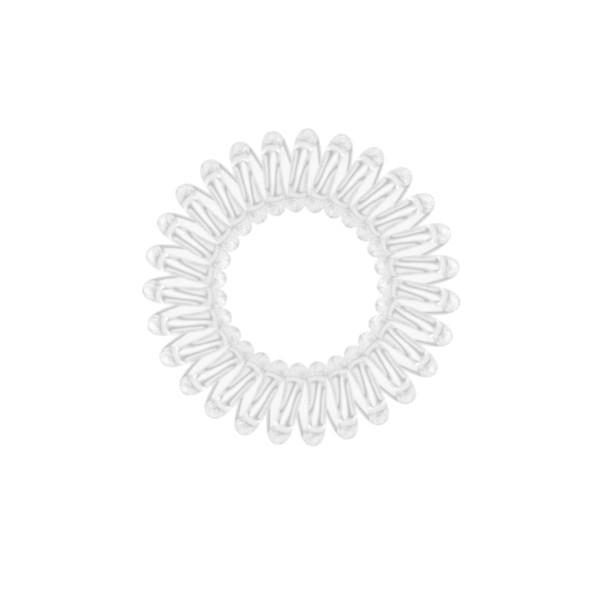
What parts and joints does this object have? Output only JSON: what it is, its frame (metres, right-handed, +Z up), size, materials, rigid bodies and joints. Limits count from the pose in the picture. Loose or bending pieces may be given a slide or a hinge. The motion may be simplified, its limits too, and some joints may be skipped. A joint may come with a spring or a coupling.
{
  "type": "spiral hair tie",
  "caption": "Round elastic hair tie: one clear plastic cord wound as a close helix and closed into a ring, with an open hole for the hair.",
  "frame": {"origin": "centre of the ring, on the plane that the tie lies on", "axes": "+Z up along the ring's axis; +X and +Y across the ring, with +Y up the picture"},
  "size_m": [0.0377, 0.0377, 0.0086],
  "materials": {
    "clear_plastic": "clear thermoplastic polyurethane, drawn smooth and glossy, see-through with a faint grey cast"
  },
  "bodies": {
    "root": {"coil": "clear_plastic"}
  },
  "joints": []
}
